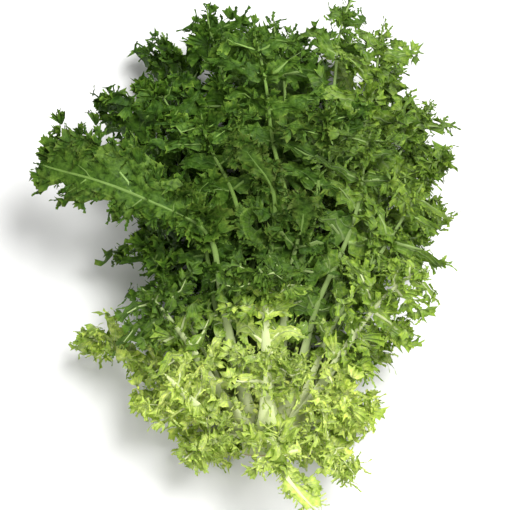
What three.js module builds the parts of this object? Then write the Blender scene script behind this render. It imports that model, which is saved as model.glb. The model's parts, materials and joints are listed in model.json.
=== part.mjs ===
// A head of curly endive lying on its side: a cut stem, and rings of frilled leaves that grow from its crown.
// Millimetres, +Z up. The head's axis runs along +Y, from the cut stem to the leaf tips.
//
// Every leaf is drawn on a growth chart (along the leaf, turn round the axis, layer out from the heart),
// and placeInHead() folds that chart into the lying head. Each ring of leaves keeps to its own layers
// and each leaf to its own sector, so no leaf passes through another.
import * as THREE from "three";

const degree = Math.PI / 180;

// Driving sizes.
const crown = {
  tip: -102, // forward position of the crown's tip, where the heart stands
  uprightSpread: 22, // crown surface per unit of layer, up to layer 1
  droopingSpread: 15, // crown surface per unit of layer, past layer 1
  skin: 1.2, // how far the crown's own surface lies behind the leaf bases
};
const stub = { cutEnd: -131, cutRadius: 16, neckRadius: 17.5, neckEnd: -121, sides: 24 };
const lean = { heart: 3, upright: 18, drooping: 95 }; // degrees from the axis, then degrees per layer
const bend = { heart: 0.02, outer: 0.12 }; // degrees of outward curl per millimetre of leaf
const axisHeight = { most: 61, forwardOfMost: 75, drop: 14, dropLength: 190 };
const pressed = { roundCore: 28, ease: 12, above: 0.66, below: 0.28 }; // shares of height kept past the core
// Above the crown the leaves have flopped forward over the head, all but the hindmost.
const flop = { most: 38, startsAbove: 26, fullAbove: 78, back: -130, full: -112, fades: -60, front: 110 };
const unevenness = { startsAt: 32, fullAt: 110, slow: 6, quick: 2.2 };
const blade = { thickness: 0.8, pressedThickness: 0.8, outerShare: 0.62 };
const rib = { half: 4.8, tipHalf: 1.1, clasp: 4.5, claspLength: 10, thickness: 2.3, tipThickness: 1, ridge: 0.4 };
const lobe = { rearWidth: 0.47, frontWidth: 0.44, rearReach: 0.88, notchReach: 0.7 };
const frill = { height: 16.5, gapShare: 0.37, roll: 0.55, furthest: 18 }; // how far lobes stand out of their leaf
const sectorClearance = 1.2;

// From the drooping leaves at the cut end to the heart. `turn` is where the ring's first leaf points,
// in degrees round the axis from +X towards +Z, and `sweep` is how far the ring swings on its way out.
const rings = [
  { name: "droop_leaf", colour: "pale", count: 6, layer: 1.85, length: 42, width: 42, lobes: 4, turn: 30, sweep: 0 },
  { name: "skirt_leaf", colour: "pale", count: 7, layer: 1.5, length: 60, width: 42, lobes: 5, turn: 40, sweep: -30 },
  { name: "low_leaf", colour: "fresh", count: 8, layer: 1.22, length: 102, width: 42, lobes: 6, turn: 0, sweep: 14 },
  { name: "outer_leaf", colour: "green", count: 8, layer: 1, length: 165, width: 46, lobes: 8, turn: -13, sweep: 0 },
  { name: "full_leaf", colour: "green", count: 8, layer: 0.84, length: 204, width: 46, lobes: 8, turn: 0, sweep: 7 },
  { name: "upper_leaf", colour: "deep", count: 7, layer: 0.68, length: 226, width: 50, lobes: 8, turn: 20, sweep: -9 },
  { name: "tall_leaf", colour: "deep", count: 6, layer: 0.51, length: 248, width: 52, lobes: 8, turn: 20, sweep: 8 },
  { name: "inner_leaf", colour: "deep", count: 5, layer: 0.33, length: 260, width: 48, lobes: 7, turn: 54, sweep: -6 },
  { name: "heart_leaf", colour: "green", count: 3, layer: 0.14, length: 252, width: 44, lobes: 7, turn: 66, sweep: 5 },
];

// Leaves that grew unlike the rest of their ring. An `opened` leaf turns its blade to lie flat, by so many
// degrees, and one that `nods` arches down. `lowerShare` is the width of its lower side over that of its upper side.
const strays = {
  droop_leaf_1: { length: 53 },
  droop_leaf_2: { length: 80, width: 26, sweep: -105 }, // hangs down past the cut end
  droop_leaf_3: { length: 38 },
  droop_leaf_4: { length: 43 },
  skirt_leaf_1: { length: 54 },
  skirt_leaf_3: { layer: 1.46, length: 64 },
  skirt_leaf_4: { layer: 1.44, length: 66 },
  skirt_leaf_7: { length: 56 },
  low_leaf_1: { layer: 1.17, length: 102, width: 30 },
  low_leaf_2: { length: 118, width: 34, sweep: -24 },
  low_leaf_5: { layer: 1.26, length: 113, width: 46 }, // reaches out low on the left
  outer_leaf_1: { length: 172 },
  outer_leaf_2: { width: 38 },
  outer_leaf_3: { length: 142 },
  outer_leaf_4: { layer: 1.02, length: 220, width: 44, lowerShare: 0.48, opened: 75, nods: 20 }, // swings far out to the left
  outer_leaf_5: { length: 144 },
  full_leaf_1: { length: 208, width: 44 },
  full_leaf_4: { length: 166 },
  full_leaf_5: { length: 200, width: 50 },
  upper_leaf_1: { length: 228, width: 60 },
  upper_leaf_4: { length: 236, width: 60 },
  upper_leaf_7: { width: 60 },
  tall_leaf_3: { length: 236, width: 42 },
  tall_leaf_6: { width: 62 },
  inner_leaf_3: { length: 256, width: 42 },
  inner_leaf_1: { length: 276, width: 30, sweep: -15 }, // a narrow one, past all the others
};
const openedOver = [135, 178]; // where an opened leaf's blade turns, in mm from the crown
const nodsFrom = 172; // where a nodding leaf starts to arch down, in mm from the crown
const swing = { ring: "outer_leaf", round: 125, halfWidth: 100, most: 38, starts: 90, full: 230 };

const finishes = {
  stem: { color: 0xd9cfa6, roughness: 0.75 },
  pale: { color: 0xb4c96a, roughness: 0.5 },
  fresh: { color: 0x8fb04a, roughness: 0.5 },
  green: { color: 0x55812c, roughness: 0.5 },
  deep: { color: 0x446e26, roughness: 0.5 },
};

// The growth chart.
const mix = (from, to, share) => from + (to - from) * share;
const within = (value, low, high) => Math.min(high, Math.max(low, value));

function smoothStep(from, to, value) {
  const share = within((value - from) / (to - from), 0, 1);
  return share * share * (3 - 2 * share);
}

// A repeatable stream of numbers from 0 to 1.
function seededRandom(seed) {
  let state = 7919 * seed + 104729;
  const next = () => (state = (state * 16807) % 2147483647) / 2147483647;
  for (let skipped = 0; skipped < 5; skipped++) next();
  return next;
}

// The angle from the axis at which a leaf of this layer leaves the crown.
function leanAt(layer) {
  const upright = lean.heart + lean.upright * Math.min(layer, 1);
  return (upright + lean.drooping * Math.max(layer - 1, 0)) * degree;
}

// Where a leaf of this layer leaves the crown, whose profile is two arcs square to the leaves.
function crownPoint(layer) {
  const arc = (spread, turnPerLayer, from, to) => ({
    radius: (spread / turnPerLayer) * (Math.sin(to) - Math.sin(from)),
    forward: (spread / turnPerLayer) * (Math.cos(to) - Math.cos(from)),
  });
  const upright = arc(crown.uprightSpread, lean.upright * degree, leanAt(0), leanAt(Math.min(layer, 1)));
  const drooping = arc(crown.droopingSpread, lean.drooping * degree, leanAt(1), leanAt(Math.max(layer, 1)));
  return {
    radius: upright.radius + drooping.radius,
    forward: crown.tip + upright.forward + drooping.forward,
  };
}

// A leaf's midrib in the half plane through the axis: a plain arc that opens away from the axis.
function leafArc(along, layer) {
  const start = crownPoint(layer);
  const first = leanAt(layer);
  const curl = (bend.heart + bend.outer * layer ** (layer > 1 ? 3 : 2)) * degree;
  const last = first + curl * along;
  return {
    radius: start.radius + (Math.cos(first) - Math.cos(last)) / curl,
    forward: start.forward + (Math.sin(last) - Math.sin(first)) / curl,
  };
}

// How far from the axis a height comes to lie once the head's own weight has pressed it.
function pressedHeight(height) {
  const share = height > 0 ? pressed.above : pressed.below;
  const beyond = Math.max(0, Math.abs(height) - pressed.roundCore);
  const eased = share * beyond + (1 - share) * pressed.ease * (1 - Math.exp(-beyond / pressed.ease));
  return Math.sign(height) * (Math.min(Math.abs(height), pressed.roundCore) + eased);
}

function layDown(x, y, height) {
  const fromMost = (y - axisHeight.forwardOfMost) / axisHeight.dropLength;
  return new THREE.Vector3(x, y, axisHeight.most - axisHeight.drop * fromMost ** 2 + pressedHeight(height));
}

function placeInHead(along, turn, layer) {
  const { radius, forward } = leafArc(along, layer);
  const x = radius * Math.cos(turn);
  const height = radius * Math.sin(turn);
  const fromCrown = Math.hypot(radius, forward - crown.tip);
  const free = smoothStep(unevenness.startsAt, unevenness.fullAt, fromCrown);
  const slow = unevenness.slow * free;
  const quick = unevenness.quick * free;
  const lift = smoothStep(-30, 50, height);
  const flopped = smoothStep(flop.startsAbove, flop.fullAbove, height) * smoothStep(flop.back, flop.full, forward);
  const forwards = flop.most * flopped * (1 - smoothStep(flop.fades, flop.front, forward));
  return layDown(
    x + slow * Math.sin(forward / 43 + height / 61 + 0.6) + quick * Math.sin(forward / 15 + 1),
    forward + forwards + slow * Math.sin(x / 47 - height / 58 + 2.1) + quick * Math.sin(x / 16 + 2.4),
    height + lift * (slow * Math.sin(x / 45 + forward / 66 + 4.2) + quick * Math.sin(x / 17 + forward / 14)),
  );
}

// A leaf.
// Whether two leaves lie one over the other anywhere, seen from the axis.
function meet(leaf, other) {
  const apart = Math.abs(Math.sin((leaf.turn - other.turn) / 2)) * 2;
  return apart < leaf.sector + other.sector + 15 * degree;
}

function leafList() {
  const leaves = [];
  rings.forEach((ring, at) => {
    const outerLayer = at ? rings[at - 1].layer : ring.layer + 0.4;
    const innerLayer = at < rings.length - 1 ? rings[at + 1].layer : 0;
    for (let number = 1; number <= ring.count; number++) {
      const random = seededRandom(100 * at + number);
      const own = { ...ring, length: ring.length * mix(0.93, 1.06, random()), ...strays[`${ring.name}_${number}`] };
      leaves.push({
        name: `${ring.name}_${number}`,
        ring: ring.name,
        colour: own.colour,
        layer: own.layer,
        outerGap: outerLayer - own.layer,
        innerGap: own.layer - innerLayer,
        turn: (ring.turn + (360 / ring.count) * (number - 1)) * degree,
        sweep: own.sweep * degree,
        sector: Math.PI / ring.count,
        length: own.length,
        width: own.width,
        lobes: own.lobes,
        petioleEnd: own.length > 100 ? 0.13 * own.length : 0.2 * own.length,
        lobeLean: mix(0.35, 0.6, random()),
        opened: (own.opened ?? 0) * degree,
        lowerShare: own.lowerShare ?? 1,
        nods: own.nods ?? 0,
        random,
      });
    }
  });
  const reach = (near) => Math.max(0, ...near.map((other) => other.length + 6));
  for (const leaf of leaves) {
    const near = leaves.filter((other) => other.ring !== leaf.ring && meet(leaf, other));
    leaf.coveredTo = reach(near.filter((other) => other.layer > leaf.layer));
    const within = near.filter((other) => other.layer < leaf.layer && leaf.layer - other.layer < leaf.innerGap + 0.14);
    leaf.backedTo = within.length ? reach(within) : leaf.length;
  }
  return leaves;
}

// Millimetres that a point of a leaf moves for one layer further out.
function layerStretch(along, layer) {
  const [inner, outer] = [leafArc(along, layer - 0.01), leafArc(along, layer + 0.01)];
  return Math.hypot(outer.radius - inner.radius, outer.forward - inner.forward) / 0.02;
}

// A point of a leaf, from millimetres along, across and out of it. It keeps clear of the rings inside and
// outside its own, but past the ends of the leaves that cover it, it may flop outward. A leaf on either
// side of the head rolls there, its lower margin outward, so that it looks up.
function leafPoint(leaf, { along, across, lift }) {
  const { radius } = leafArc(along, leaf.layer);
  const uncovered = smoothStep(leaf.coveredTo, leaf.coveredTo + 22, along);
  const stretch = layerStretch(along, leaf.layer);
  const roll = -frill.roll * Math.max(uncovered, 0.5 * smoothStep(20, 70, along)) * Math.cos(leaf.turn) * across;
  const out = (lift * frill.height + roll) / stretch;
  const outermost = mix(frill.gapShare * leaf.outerGap, frill.furthest / stretch, uncovered);
  const unbacked = smoothStep(leaf.backedTo, leaf.backedTo + 22, along);
  const innermost = mix(frill.gapShare * leaf.innerGap, frill.furthest / stretch, unbacked);
  const layer = leaf.layer + within(out, -innermost, outermost);
  const opened = leaf.opened * smoothStep(...openedOver, along);
  const turn = leaf.turn + leaf.sweep * (along / 200) ** 1.5 + (across * Math.cos(opened)) / radius;
  const point = placeInHead(along, swungOut(leaf, along, turn), layer);
  point.y -= across * Math.sin(opened);
  point.z -= leaf.nods * (Math.max(0, along - nodsFrom) / 50) ** 1.5;
  return point;
}

// One ring opens towards one side, the leaves there swinging apart as they lengthen.
function swungOut(leaf, along, turn) {
  if (leaf.ring !== swing.ring) return turn;
  const away = Math.min(1, Math.abs(turn / degree - swing.round) / swing.halfWidth);
  const share = Math.cos((away * Math.PI) / 2) ** 2;
  return turn + swing.most * degree * share * smoothStep(swing.starts, swing.full, along);
}

const roomAcross = (leaf, along) => leafArc(along, leaf.layer).radius * leaf.sector - sectorClearance;

function ribHalfWidth(leaf, along) {
  const half = mix(rib.half, rib.tipHalf, along / leaf.length) + rib.clasp * Math.exp(-along / rib.claspLength);
  return Math.min(half, roomAcross(leaf, along));
}

const ribThickness = (leaf, along) => mix(rib.thickness, rib.tipThickness, (along / leaf.length) ** 0.6);

// Narrow near the petiole, widest at two thirds, and drawn in at the tip.
const outlineShare = (share) => mix(0.5, 1, smoothStep(0, 0.6, share)) * (1 - 0.25 * share ** 4);

// The leaf's flat chart: points, each with its thickness, and triangles that run anticlockwise from outside.
function leafChart(leaf) {
  const points = [];
  const triangles = [];
  const point = (along, across, lift, thickness) =>
    points.push({ along, across, lift, thickness: thickness ?? blade.thickness }) - 1;
  const triangle = (side, a, b, c) => triangles.push(side > 0 ? [a, b, c] : [a, c, b]);

  const tipLength = Math.max(12, 0.075 * leaf.length);
  const bladeEnd = leaf.length - tipLength;
  const pitch = (bladeEnd - leaf.petioleEnd) / leaf.lobes;
  const stations = [0.5];
  for (let step = 0; step <= leaf.lobes; step++) stations.push(leaf.petioleEnd + pitch * step);

  const ribs = stations.map((along) => {
    const half = ribHalfWidth(leaf, along);
    const thickness = ribThickness(leaf, along);
    return {
      along,
      half,
      centre: point(along, 0, 0, thickness + rib.ridge),
      "1": point(along, half, 0, thickness),
      "-1": point(along, -half, 0, thickness),
    };
  });

  for (const side of [1, -1]) {
    for (let at = 0; at < ribs.length - 1; at++) {
      const [rear, front] = [ribs[at], ribs[at + 1]];
      triangle(side, rear.centre, front.centre, front[side]);
      triangle(side, rear.centre, front[side], rear[side]);
      if (at > 0) addLobe(side, rear, front, at - 1);
    }
    addTip(side, ribs.at(-1));
  }
  return { points, triangles };

  // Two teeth with a notch between them, thrown out of the leaf's own surface first one way, then the other.
  function addLobe(side, rear, front, number) {
    const share = (number + 0.5) / leaf.lobes;
    const middle = (rear.along + front.along) / 2;
    const width = leaf.width * (side > 0 ? leaf.lowerShare : 1);
    const wanted = width * outlineShare(share) * mix(0.82, 1.12, leaf.random());
    const furthest = middle + leaf.lobeLean * wanted * 0.6;
    const reach = Math.max(2.5, Math.min(wanted, roomAcross(leaf, furthest)) - rear.half);
    const forward = leaf.lobeLean * reach;
    const thrown = (number % 2 ? 1 : -1) * side * mix(0.55, 1, leaf.random());
    const twist = mix(-0.5, 0.5, leaf.random());
    const at = (outward, shift, lift) =>
      point(middle + forward * outward + shift * pitch, side * (rear.half + reach * outward), lift);
    const rearTooth = at(lobe.rearReach, -lobe.rearWidth, within(thrown + twist, -1, 1));
    const notch = at(lobe.notchReach, 0, thrown * 0.45);
    const frontTooth = at(1, lobe.frontWidth, within(thrown - twist, -1, 1));
    triangle(side, rear[side], front[side], notch);
    triangle(side, rear[side], notch, rearTooth);
    triangle(side, front[side], frontTooth, notch);
  }

  // Half of the three-toothed end of the leaf.
  function addTip(side, last) {
    const spread = Math.min(leaf.width * 0.5, roomAcross(leaf, bladeEnd)) * mix(0.8, 1.1, leaf.random());
    const lift = mix(-0.8, 0.8, leaf.random());
    const apex = side > 0 ? point(leaf.length, 0, mix(-0.7, 0.7, leaf.random())) : points.tipApex;
    points.tipApex = apex;
    const notch = point(bladeEnd + tipLength * 0.55, side * spread * 0.4, lift * 0.3);
    const tooth = point(bladeEnd + tipLength * 0.8, side * spread, lift);
    triangle(side, last.centre, apex, notch);
    triangle(side, last.centre, notch, tooth);
    triangle(side, last.centre, tooth, last[side]);
  }
}

// Two skins, each the chart moved along its own normals, joined round the edge. What would reach below
// the surface that the head lies on is pressed flat against it.
function leafGeometry(leaf) {
  const { points, triangles } = leafChart(leaf);
  const middle = points.map((at) => leafPoint(leaf, at));
  const normals = middle.map(() => new THREE.Vector3());
  for (const corners of triangles) {
    const [a, b, c] = corners.map((corner) => middle[corner]);
    const normal = b.clone().sub(a).cross(c.clone().sub(a));
    corners.forEach((corner) => normals[corner].add(normal));
  }
  const skin = (share) =>
    middle.map((at, index) => at.clone().addScaledVector(normals[index].normalize(), share * points[index].thickness));
  const outer = skin(blade.outerShare);
  const inner = skin(blade.outerShare - 1);
  outer.forEach((top, index) => {
    const [low, high] = top.z < inner[index].z ? [top, inner[index]] : [inner[index], top];
    low.z = Math.max(low.z, 0);
    high.z = Math.max(high.z, blade.pressedThickness);
  });

  const count = middle.length;
  const faces = [];
  const open = new Map();
  for (const [a, b, c] of triangles) {
    faces.push([a, b, c], [a + count, c + count, b + count]);
    for (const [from, to] of [[a, b], [b, c], [c, a]]) {
      if (!open.delete(`${to}_${from}`)) open.set(`${from}_${to}`, [from, to]);
    }
  }
  for (const [from, to] of open.values()) {
    faces.push([to, from, from + count], [to, from + count, to + count]);
  }
  const geometry = new THREE.BufferGeometry();
  geometry.setFromPoints([...outer, ...inner]);
  geometry.setIndex(faces.flat());
  return geometry;
}

// The stem.
// A cut stub that widens into the domed crown. It is turned on the head's axis and laid down with it.
function stemGeometry() {
  const profile = [
    new THREE.Vector2(0, stub.cutEnd),
    new THREE.Vector2(stub.cutRadius, stub.cutEnd),
    new THREE.Vector2(stub.neckRadius, stub.neckEnd),
  ];
  for (const layer of [1.9, 1.6, 1.3, 1, 0.75, 0.5, 0.25, 0]) {
    const { radius, forward } = crownPoint(layer);
    const out = leanAt(layer);
    const x = radius - crown.skin * Math.sin(out);
    profile.push(new THREE.Vector2(layer ? x : 0, forward - crown.skin * Math.cos(out)));
  }
  const geometry = new THREE.LatheGeometry(profile, stub.sides);
  const position = geometry.getAttribute("position");
  for (let at = 0; at < position.count; at++) {
    const laid = layDown(position.getX(at), position.getY(at), position.getZ(at));
    position.setXYZ(at, laid.x, laid.y, laid.z);
  }
  return geometry;
}

// The head.
function piece(name, geometry, colour) {
  geometry.computeVertexNormals();
  const mesh = new THREE.Mesh(geometry, new THREE.MeshStandardMaterial({ ...finishes[colour], metalness: 0 }));
  mesh.name = name;
  return mesh;
}

const head = new THREE.Group();
head.add(piece("stem", stemGeometry(), "stem"));
for (const leaf of leafList()) head.add(piece(leaf.name, leafGeometry(leaf), leaf.colour));

// The origin is under the middle of the head's bounding box, on the surface that it lies on.
const box = new THREE.Box3().setFromObject(head);
const middle = box.getCenter(new THREE.Vector3());
for (const mesh of head.children) mesh.geometry.translate(-middle.x, -middle.y, -box.min.z);

export default head;
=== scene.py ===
import bpy
import json
import numpy as np
from functools import partial
from math import atan2, cos, degrees, hypot, pi, radians, sin
from mathutils import Euler, Matrix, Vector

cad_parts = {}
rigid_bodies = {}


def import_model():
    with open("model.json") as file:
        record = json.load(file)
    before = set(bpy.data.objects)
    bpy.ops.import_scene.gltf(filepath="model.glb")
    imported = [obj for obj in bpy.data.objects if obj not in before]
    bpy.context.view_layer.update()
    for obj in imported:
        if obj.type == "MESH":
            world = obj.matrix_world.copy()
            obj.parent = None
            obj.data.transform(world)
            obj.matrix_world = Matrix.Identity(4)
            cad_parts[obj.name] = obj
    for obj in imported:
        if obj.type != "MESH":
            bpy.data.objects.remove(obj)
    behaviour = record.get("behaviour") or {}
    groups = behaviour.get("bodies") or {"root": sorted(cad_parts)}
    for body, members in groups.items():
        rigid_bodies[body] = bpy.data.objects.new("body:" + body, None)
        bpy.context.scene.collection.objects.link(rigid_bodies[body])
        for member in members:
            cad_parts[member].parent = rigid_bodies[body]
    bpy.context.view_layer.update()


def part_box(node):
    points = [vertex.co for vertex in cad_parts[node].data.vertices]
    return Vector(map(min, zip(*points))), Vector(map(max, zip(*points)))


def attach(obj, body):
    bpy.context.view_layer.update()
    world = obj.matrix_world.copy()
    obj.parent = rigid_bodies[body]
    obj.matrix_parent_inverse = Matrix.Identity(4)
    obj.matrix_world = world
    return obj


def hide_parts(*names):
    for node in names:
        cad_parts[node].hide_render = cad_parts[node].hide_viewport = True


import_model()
stemLow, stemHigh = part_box("stem")

# where the growth chart's own origin lies in the frame: on the head's axis, in millimetres
chartOrigin = np.array([500 * (stemLow[0] + stemHigh[0]), 1000 * stemLow[1] + 131, 0])

view = {"height": 1.7, "across": 0.3264, "atHeight": 0.085, "rightOfAxis": -0.0083}


def placed(name, data):
    placedObject = bpy.data.objects.new(name, data)
    bpy.context.collection.objects.link(placedObject)
    return placedObject


cameraData = bpy.data.cameras.new("overhead")
camera = placed("overhead", cameraData)
camera.location = (chartOrigin[0] / 1000 + view["rightOfAxis"], chartOrigin[1] / 1000, view["height"])
cameraData.sensor_width = 36
cameraData.lens = 36 * (view["height"] - view["atHeight"]) / view["across"]
cameraData.clip_end = 20
bpy.context.scene.camera = camera
print("camera over the head")

# the growth chart: along a leaf, turn round the axis, layer out from the heart; mm and degrees
crown = {"tip": -102, "uprightSpread": 22, "droopingSpread": 15, "skin": 1.2}
lean = {"heart": 3, "upright": 18, "drooping": 95}
bend = {"heart": 0.02, "outer": 0.12}
axisHeight = {"most": 61, "forwardOfMost": 75, "drop": 14, "dropLength": 190}
pressed = {"roundCore": 28, "ease": 12, "above": 0.66, "below": 0.28}
flop = {"most": 38, "above": (26, 78), "back": (-130, -112), "front": (-60, 110)}
unevenness = {"startsAt": 32, "fullAt": 110, "slow": 6, "quick": 2.2, "raisedOver": (-30, 50)}
sectorClearance = 1.2
rib = {"half": 4.8, "tipHalf": 1.1, "clasp": 4.5, "claspLength": 10, "thickness": 2.7, "tipThickness": 1.4}
frill = {"height": 16.5, "roll": 0.55, "furthest": 18, "roomShare": 0.85, "easeLength": 22}

ringValues = ("name", "colour", "count", "layer", "length", "width", "lobes", "turn", "sweep")
rings = [dict(zip(ringValues, row)) for row in (
    ("droop_leaf", "pale", 6, 1.85, 42, 42, 4, 30, 0),
    ("skirt_leaf", "pale", 7, 1.5, 60, 42, 5, 40, -30),
    ("low_leaf", "fresh", 8, 1.22, 102, 42, 6, 0, 14),
    ("outer_leaf", "green", 8, 1, 165, 46, 8, -13, 0),
    ("full_leaf", "green", 8, 0.84, 204, 46, 8, 0, 7),
    ("upper_leaf", "deep", 7, 0.68, 226, 50, 8, 20, -9),
    ("tall_leaf", "deep", 6, 0.51, 248, 52, 8, 20, 8),
    ("inner_leaf", "deep", 5, 0.33, 260, 48, 7, 54, -6),
    ("heart_leaf", "green", 3, 0.14, 252, 44, 7, 66, 5),
)]
# leaves that grew unlike the rest of their ring
strays = {
    "droop_leaf_1": {"length": 53},
    "droop_leaf_2": {"length": 80, "width": 26, "sweep": -105},
    "droop_leaf_3": {"length": 38},
    "droop_leaf_4": {"length": 43},
    "skirt_leaf_1": {"length": 54},
    "skirt_leaf_3": {"layer": 1.46, "length": 64},
    "skirt_leaf_4": {"layer": 1.44, "length": 66},
    "skirt_leaf_7": {"length": 56},
    "low_leaf_1": {"layer": 1.17, "length": 102, "width": 30},
    "low_leaf_2": {"length": 118, "width": 34, "sweep": -24},
    "low_leaf_5": {"layer": 1.26, "length": 113, "width": 46},
    "outer_leaf_1": {"length": 172},
    "outer_leaf_2": {"width": 38},
    "outer_leaf_3": {"length": 142},
    "outer_leaf_4": {"layer": 1.02, "length": 220, "width": 44, "lowerShare": 0.48, "opened": 75, "nods": 20},
    "outer_leaf_5": {"length": 144},
    "full_leaf_1": {"length": 208, "width": 44},
    "full_leaf_4": {"length": 166},
    "full_leaf_5": {"length": 200, "width": 50},
    "upper_leaf_1": {"length": 228, "width": 60},
    "upper_leaf_4": {"length": 236, "width": 60},
    "upper_leaf_7": {"width": 60},
    "tall_leaf_3": {"length": 236, "width": 42},
    "tall_leaf_6": {"width": 62},
    "inner_leaf_3": {"length": 256, "width": 42},
    "inner_leaf_1": {"length": 276, "width": 30, "sweep": -15},
}
# where an opened leaf turns flat and where a nodding one starts to arch down
openedOver, nodsFrom = (135, 178), 172
swing = {"ring": "outer_leaf", "round": 125, "halfWidth": 100, "most": 38, "starts": 90, "full": 230}


def mix(low, high, share):
    return low + (high - low) * share


def smoothStep(low, high, value):
    share = np.clip((np.asarray(value, float) - low) / (high - low), 0, 1)
    return share * share * (3 - 2 * share)


def seededRandom(seed):
    # the draws of the leaf's solid; its first few are alike from seed to seed and are left out
    modulus, state, drawn = 2147483647, 7919 * seed + 104729, 0
    while True:
        state = state * 16807 % modulus
        drawn += 1
        if drawn > 5:
            yield state / modulus


def leanAt(layer):
    upright = lean["heart"] + lean["upright"] * np.minimum(layer, 1)
    return np.radians(upright + lean["drooping"] * np.maximum(layer - 1, 0))


def crownPoint(layer):
    def arc(spread, perLayer, low, high):
        radius = spread / radians(perLayer)
        return radius * (np.sin(high) - np.sin(low)), radius * (np.cos(high) - np.cos(low))

    layer = np.asarray(layer, float)
    uprightTo, droopTo = leanAt(np.minimum(layer, 1)), leanAt(np.maximum(layer, 1))
    uprightR, uprightF = arc(crown["uprightSpread"], lean["upright"], leanAt(0.0), uprightTo)
    droopR, droopF = arc(crown["droopingSpread"], lean["drooping"], leanAt(1.0), droopTo)
    return uprightR + droopR, crown["tip"] + uprightF + droopF


def leafArc(along, layer):
    layer = np.asarray(layer, float)
    startR, startF = crownPoint(layer)
    first = leanAt(layer)
    curl = np.radians(bend["heart"] + bend["outer"] * layer ** np.where(layer > 1, 3, 2))
    last = first + curl * along
    return startR + (np.cos(first) - np.cos(last)) / curl, startF + (np.sin(last) - np.sin(first)) / curl


def pressedHeight(height):
    share = np.where(height > 0, pressed["above"], pressed["below"])
    beyond = np.maximum(0, np.abs(height) - pressed["roundCore"])
    eased = share * beyond + (1 - share) * pressed["ease"] * (1 - np.exp(-beyond / pressed["ease"]))
    return np.sign(height) * (np.minimum(np.abs(height), pressed["roundCore"]) + eased)


def layDown(x, y, height):
    fromMost = (y - axisHeight["forwardOfMost"]) / axisHeight["dropLength"]
    axis = axisHeight["most"] - axisHeight["drop"] * fromMost ** 2
    return np.stack([x, y, axis + pressedHeight(height)], axis=-1)


def placeInHead(along, turn, layer):
    radius, forward = leafArc(along, layer)
    x, height = radius * np.cos(turn), radius * np.sin(turn)
    free = smoothStep(unevenness["startsAt"], unevenness["fullAt"], np.hypot(radius, forward - crown["tip"]))
    slow, quick = unevenness["slow"] * free, unevenness["quick"] * free
    lift = smoothStep(*unevenness["raisedOver"], height)
    flopped = smoothStep(*flop["above"], height) * smoothStep(*flop["back"], forward)
    forwards = flop["most"] * flopped * (1 - smoothStep(*flop["front"], forward))
    return layDown(
        x + slow * np.sin(forward / 43 + height / 61 + 0.6) + quick * np.sin(forward / 15 + 1),
        forward + forwards + slow * np.sin(x / 47 - height / 58 + 2.1) + quick * np.sin(x / 16 + 2.4),
        height + lift * (slow * np.sin(x / 45 + forward / 66 + 4.2) + quick * np.sin(x / 17 + forward / 14)))


leafPlan = {
    "lengths": (0.93, 1.06),
    "lobeLean": (0.35, 0.6),
    "petioleShare": (0.2, 0.13),  # of a short leaf and of one longer than longFrom
    "longFrom": 100,
    "nearAngle": 15,
    "nearLayers": 0.14,
    "coverPast": 6,
}


def growLeaves():
    leaves = []
    for at, ring in enumerate(rings):
        outerLayer = rings[at - 1]["layer"] if at else ring["layer"] + 0.4
        innerLayer = rings[at + 1]["layer"] if at < len(rings) - 1 else 0
        for number in range(1, ring["count"] + 1):
            name = f"{ring['name']}_{number}"
            random = seededRandom(100 * at + number)
            length = ring["length"] * mix(*leafPlan["lengths"], next(random))
            leaf = {**ring, "length": length, **strays.get(name, {})}
            leaf.update(
                ring=ring["name"], name=name, random=random, seed=100 * at + number,
                outerGap=outerLayer - leaf["layer"], innerGap=leaf["layer"] - innerLayer,
                turn=radians(ring["turn"] + 360 / ring["count"] * (number - 1)),
                sweep=radians(leaf["sweep"]), sector=pi / ring["count"],
                opened=radians(leaf.get("opened", 0)), lowerShare=leaf.get("lowerShare", 1),
                nods=leaf.get("nods", 0), lobeLean=mix(*leafPlan["lobeLean"], next(random)))
            isLong = leaf["length"] > leafPlan["longFrom"]
            leaf["petioleEnd"] = leafPlan["petioleShare"][isLong] * leaf["length"]
            leaves.append(leaf)

    def reach(near):
        return max([other["length"] + leafPlan["coverPast"] for other in near], default=0)

    for leaf in leaves:
        near = [
            other for other in leaves if other["ring"] != leaf["ring"]
            and 2 * abs(sin((leaf["turn"] - other["turn"]) / 2))
            < leaf["sector"] + other["sector"] + radians(leafPlan["nearAngle"])]
        leaf["coveredTo"] = reach([other for other in near if other["layer"] > leaf["layer"]])
        within = leaf["innerGap"] + leafPlan["nearLayers"]
        inner = [other for other in near if 0 < leaf["layer"] - other["layer"] < within]
        leaf["backedTo"] = reach(inner) if inner else leaf["length"]
    return leaves


def layerStretch(along, layer):
    innerR, innerF = leafArc(along, layer - 0.01)
    outerR, outerF = leafArc(along, layer + 0.01)
    return np.hypot(outerR - innerR, outerF - innerF) / 0.02


def easedWithin(value, low, high):
    # close to the value while it is small, and never past low or high
    limit = np.where(value > 0, high, -low)
    return value / (1 + np.abs(value / limit) ** 3) ** (1 / 3)


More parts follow.
